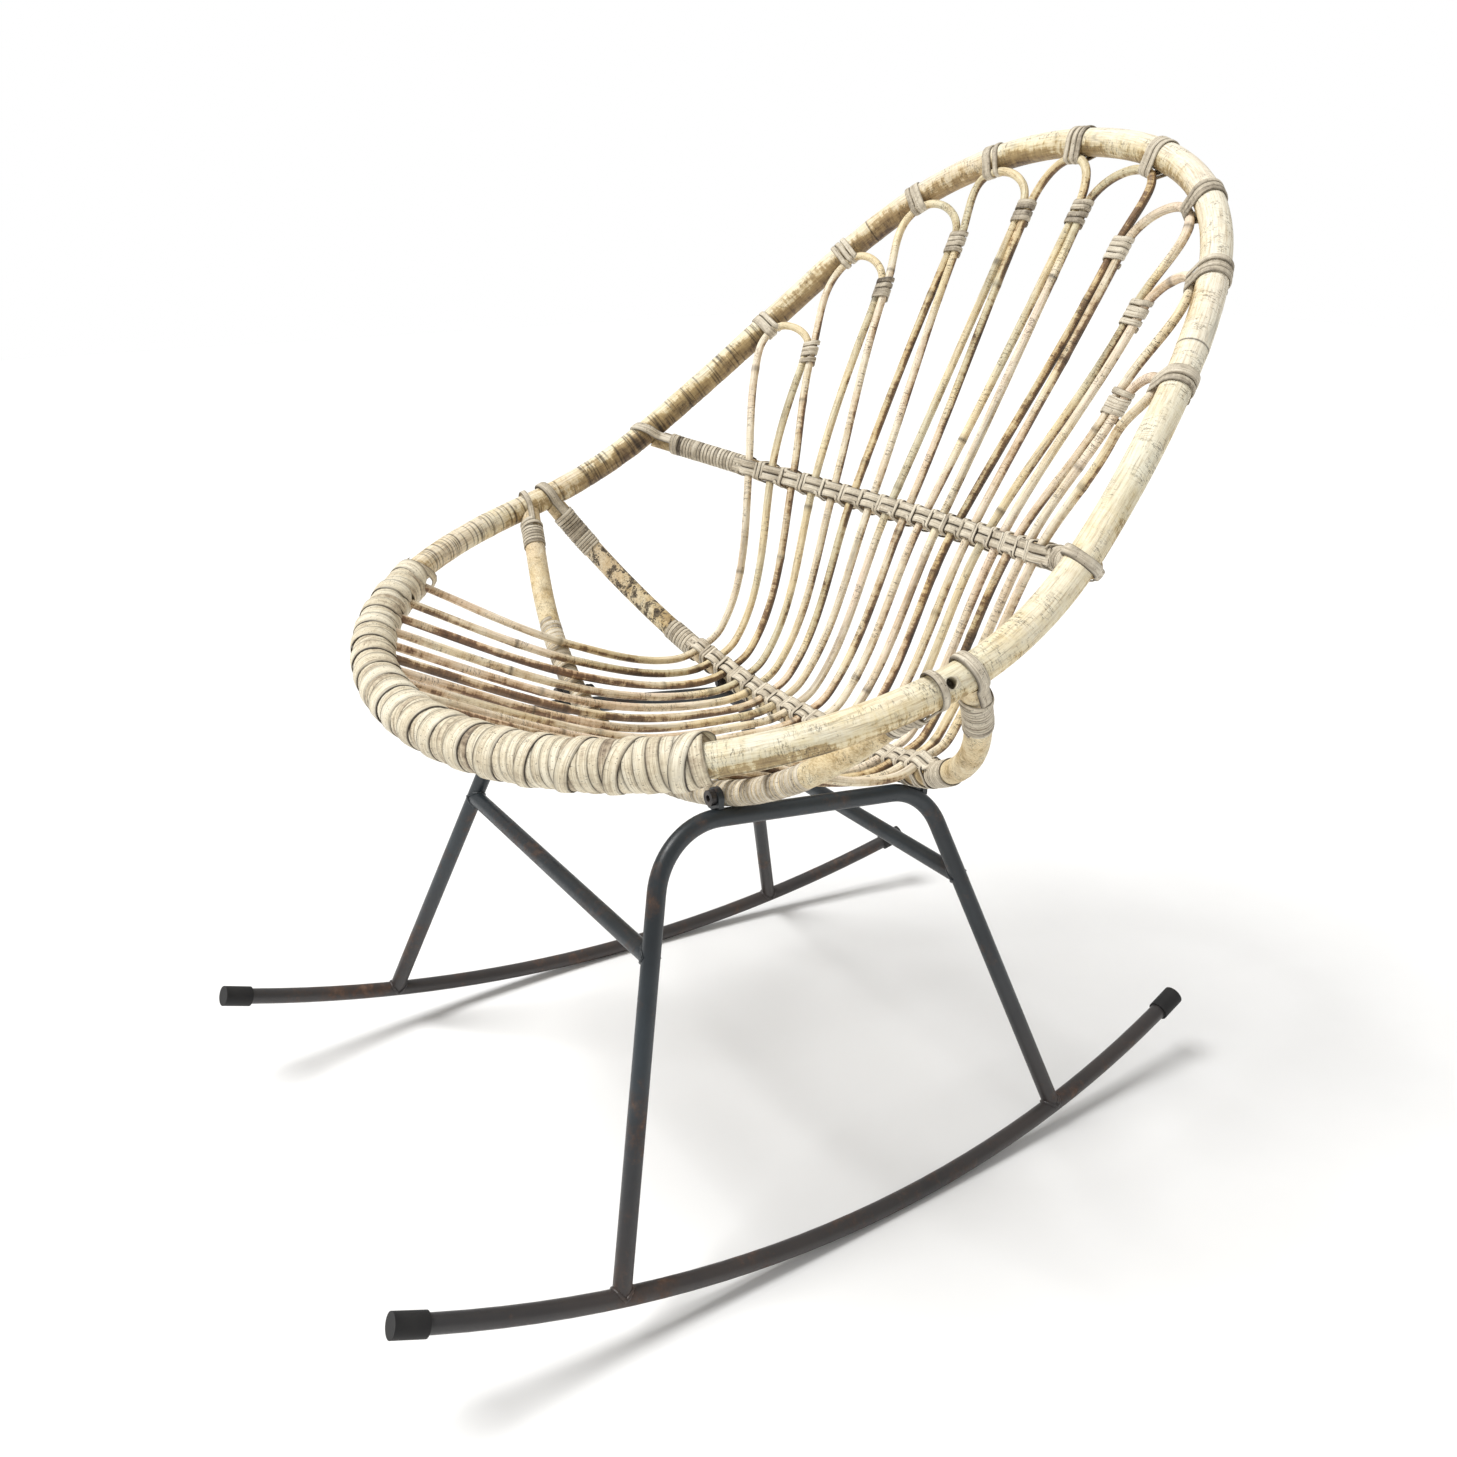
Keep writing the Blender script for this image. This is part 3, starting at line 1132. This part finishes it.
# Each leg's foot and top in the side frame's plane, and the height of its stretcher
LEGS = (((224, 22.964), (121, 342.183), 259.0), ((-232, 24.652), (-137, 365.695), 269.0))


def side_pt(u, v):
    return np.array([FRAME_X, 0, TUBE_R]) + u * SIDE_U + v * SIDE_V


def meeting_line(centre, way, other, other_way):
    """Where a tube that comes along way meets another tube."""
    first = unit(np.cross(way, other_way))
    second = np.cross(way, first)
    flat_d = square_to(other_way, way)
    line = []
    for a in np.linspace(0, 2 * np.pi, 48, endpoint=False):
        p = centre + TUBE_R * (np.cos(a) * first + np.sin(a) * second)
        flat_w = square_to(other_way, p - other)
        a2, b2, c2 = flat_d @ flat_d, flat_w @ flat_d, flat_w @ flat_w - TUBE_R ** 2
        line.append(p + way * (-b2 - math.sqrt(max(b2 * b2 - a2 * c2, 0))) / a2)
    return np.array(line)


def bead(line, side, size, seed):
    start = np.random.default_rng(seed).uniform(0, 6)
    ripple = 1 + 0.16 * np.sin(np.arange(len(line)) * 2 * np.pi / 3.0 + start)
    return pole("bead", mirror_x(line, side), (size * ripple)[:, None], 8, (0.1, 0.2, 1), 0.5,
                closed=True, seed=seed)


beads = []
for side in (1, -1):
    for front in (1, 0):
        foot, top, height = LEGS[front]
        along_leg = unit(side_pt(*top) - side_pt(*foot))
        run = unit(SIDE_U + SIDE_V * foot[0] / math.sqrt(ROCKER_R ** 2 - foot[0] ** 2))
        f = (height - foot[1]) / (top[1] - foot[1])
        joint = side_pt(foot[0] + f * (top[0] - foot[0]), height)
        foot = side_pt(*foot)
        on_rocker = meeting_line(foot + along_leg * 30, -along_leg, foot, run)
        on_leg = meeting_line(joint - [40, 0, 0], np.array([1.0, 0, 0]), joint, along_leg)
        beads += [bead(on_rocker, side, 1.7, 700 + side + 5 * front),
                  bead(on_leg, side, 1.6, 720 + side + 5 * front)]
finished(joined("weld_beads", beads), paint, "dark_steel")
print("weld beads:", len(beads))

# %% [markdown]
# ## Floor, light and camera
# The chair stands on a plain pale floor in soft white light. The camera stands where the
# photograph was taken from, with the same field of view.

# %% The floor
choose()
bpy.ops.mesh.primitive_plane_add(size=14, location=(0, 0, 0))
floor = bpy.context.object
floor.name = "floor"
floor.data.materials.append(new_finish("pale floor"))
cloud = noise(in_object(), 3, 4, 0.6)
surface(ramp(cloud, (0.3, 0.87, 0.87, 0.865), (0.7, 0.9, 0.9, 0.895)),
        grey(cloud, 0.3, 0.7, 0.75, 0.9), (cloud, 0.02, 0.0005), Specular_IOR_Level=0.2)

# %% The light
world = bpy.data.worlds.new("white room")
bpy.context.scene.world = world
world.use_nodes = True
tree = world.node_tree
tree.nodes.clear()
soft = add("Background", {"Color": (1.0, 0.99, 0.97, 1), "Strength": 0.5}).outputs[0]
behind = add("Background", {"Color": (1.0, 1.0, 1.0, 1), "Strength": 1.0}).outputs[0]
seen = add("LightPath").outputs["Is Camera Ray"]
both = add("MixShader", {0: seen, 1: soft, 2: behind}).outputs[0]
add("OutputWorld", {"Surface": both})
bpy.context.scene.view_settings.view_transform = "Standard"

KEY_PLACE, KEY_POWER, KEY_SPREAD = (-0.5, -1.2, 2.4), 3.0, 25
choose()
bpy.ops.object.light_add(type="SUN", location=KEY_PLACE)
key = bpy.context.object
key.name = "key light"
key.data.energy = KEY_POWER
key.data.angle = math.radians(KEY_SPREAD)
key.rotation_euler = Vector(KEY_PLACE).to_track_quat("Z", "Y").to_euler()

# %% The camera
LENS_PX, PHOTO_PX, SENSOR = 1360.8, 1457, 36.0
CAM_TURN, CAM_DOWN, CAM_ROLL = 57.47, 20.68, 1.57
ahead = np.array([-sin(CAM_TURN) * cos(CAM_DOWN), cos(CAM_TURN) * cos(CAM_DOWN), -sin(CAM_DOWN)])
right = np.array([cos(CAM_TURN), sin(CAM_TURN), 0.0])
above = np.cross(right, ahead)
right, above = (cos(CAM_ROLL) * right + sin(CAM_ROLL) * above,
                cos(CAM_ROLL) * above - sin(CAM_ROLL) * right)
lean = np.array([[1, 0, 0], [0, cos(REST_LEAN), sin(REST_LEAN)], [0, -sin(REST_LEAN), cos(REST_LEAN)]])
bpy.ops.object.camera_add(location=tuple(stood(EYE)))
camera = bpy.context.object
camera.name = "photo camera"
camera.rotation_euler = Matrix((lean @ np.stack([right, above, -ahead], -1)).tolist()).to_euler()
camera.data.sensor_width = SENSOR
camera.data.lens = LENS_PX / PHOTO_PX * SENSOR
camera.data.clip_start = 0.05
bpy.context.scene.camera = camera
print("camera lens: %.2f mm" % camera.data.lens)
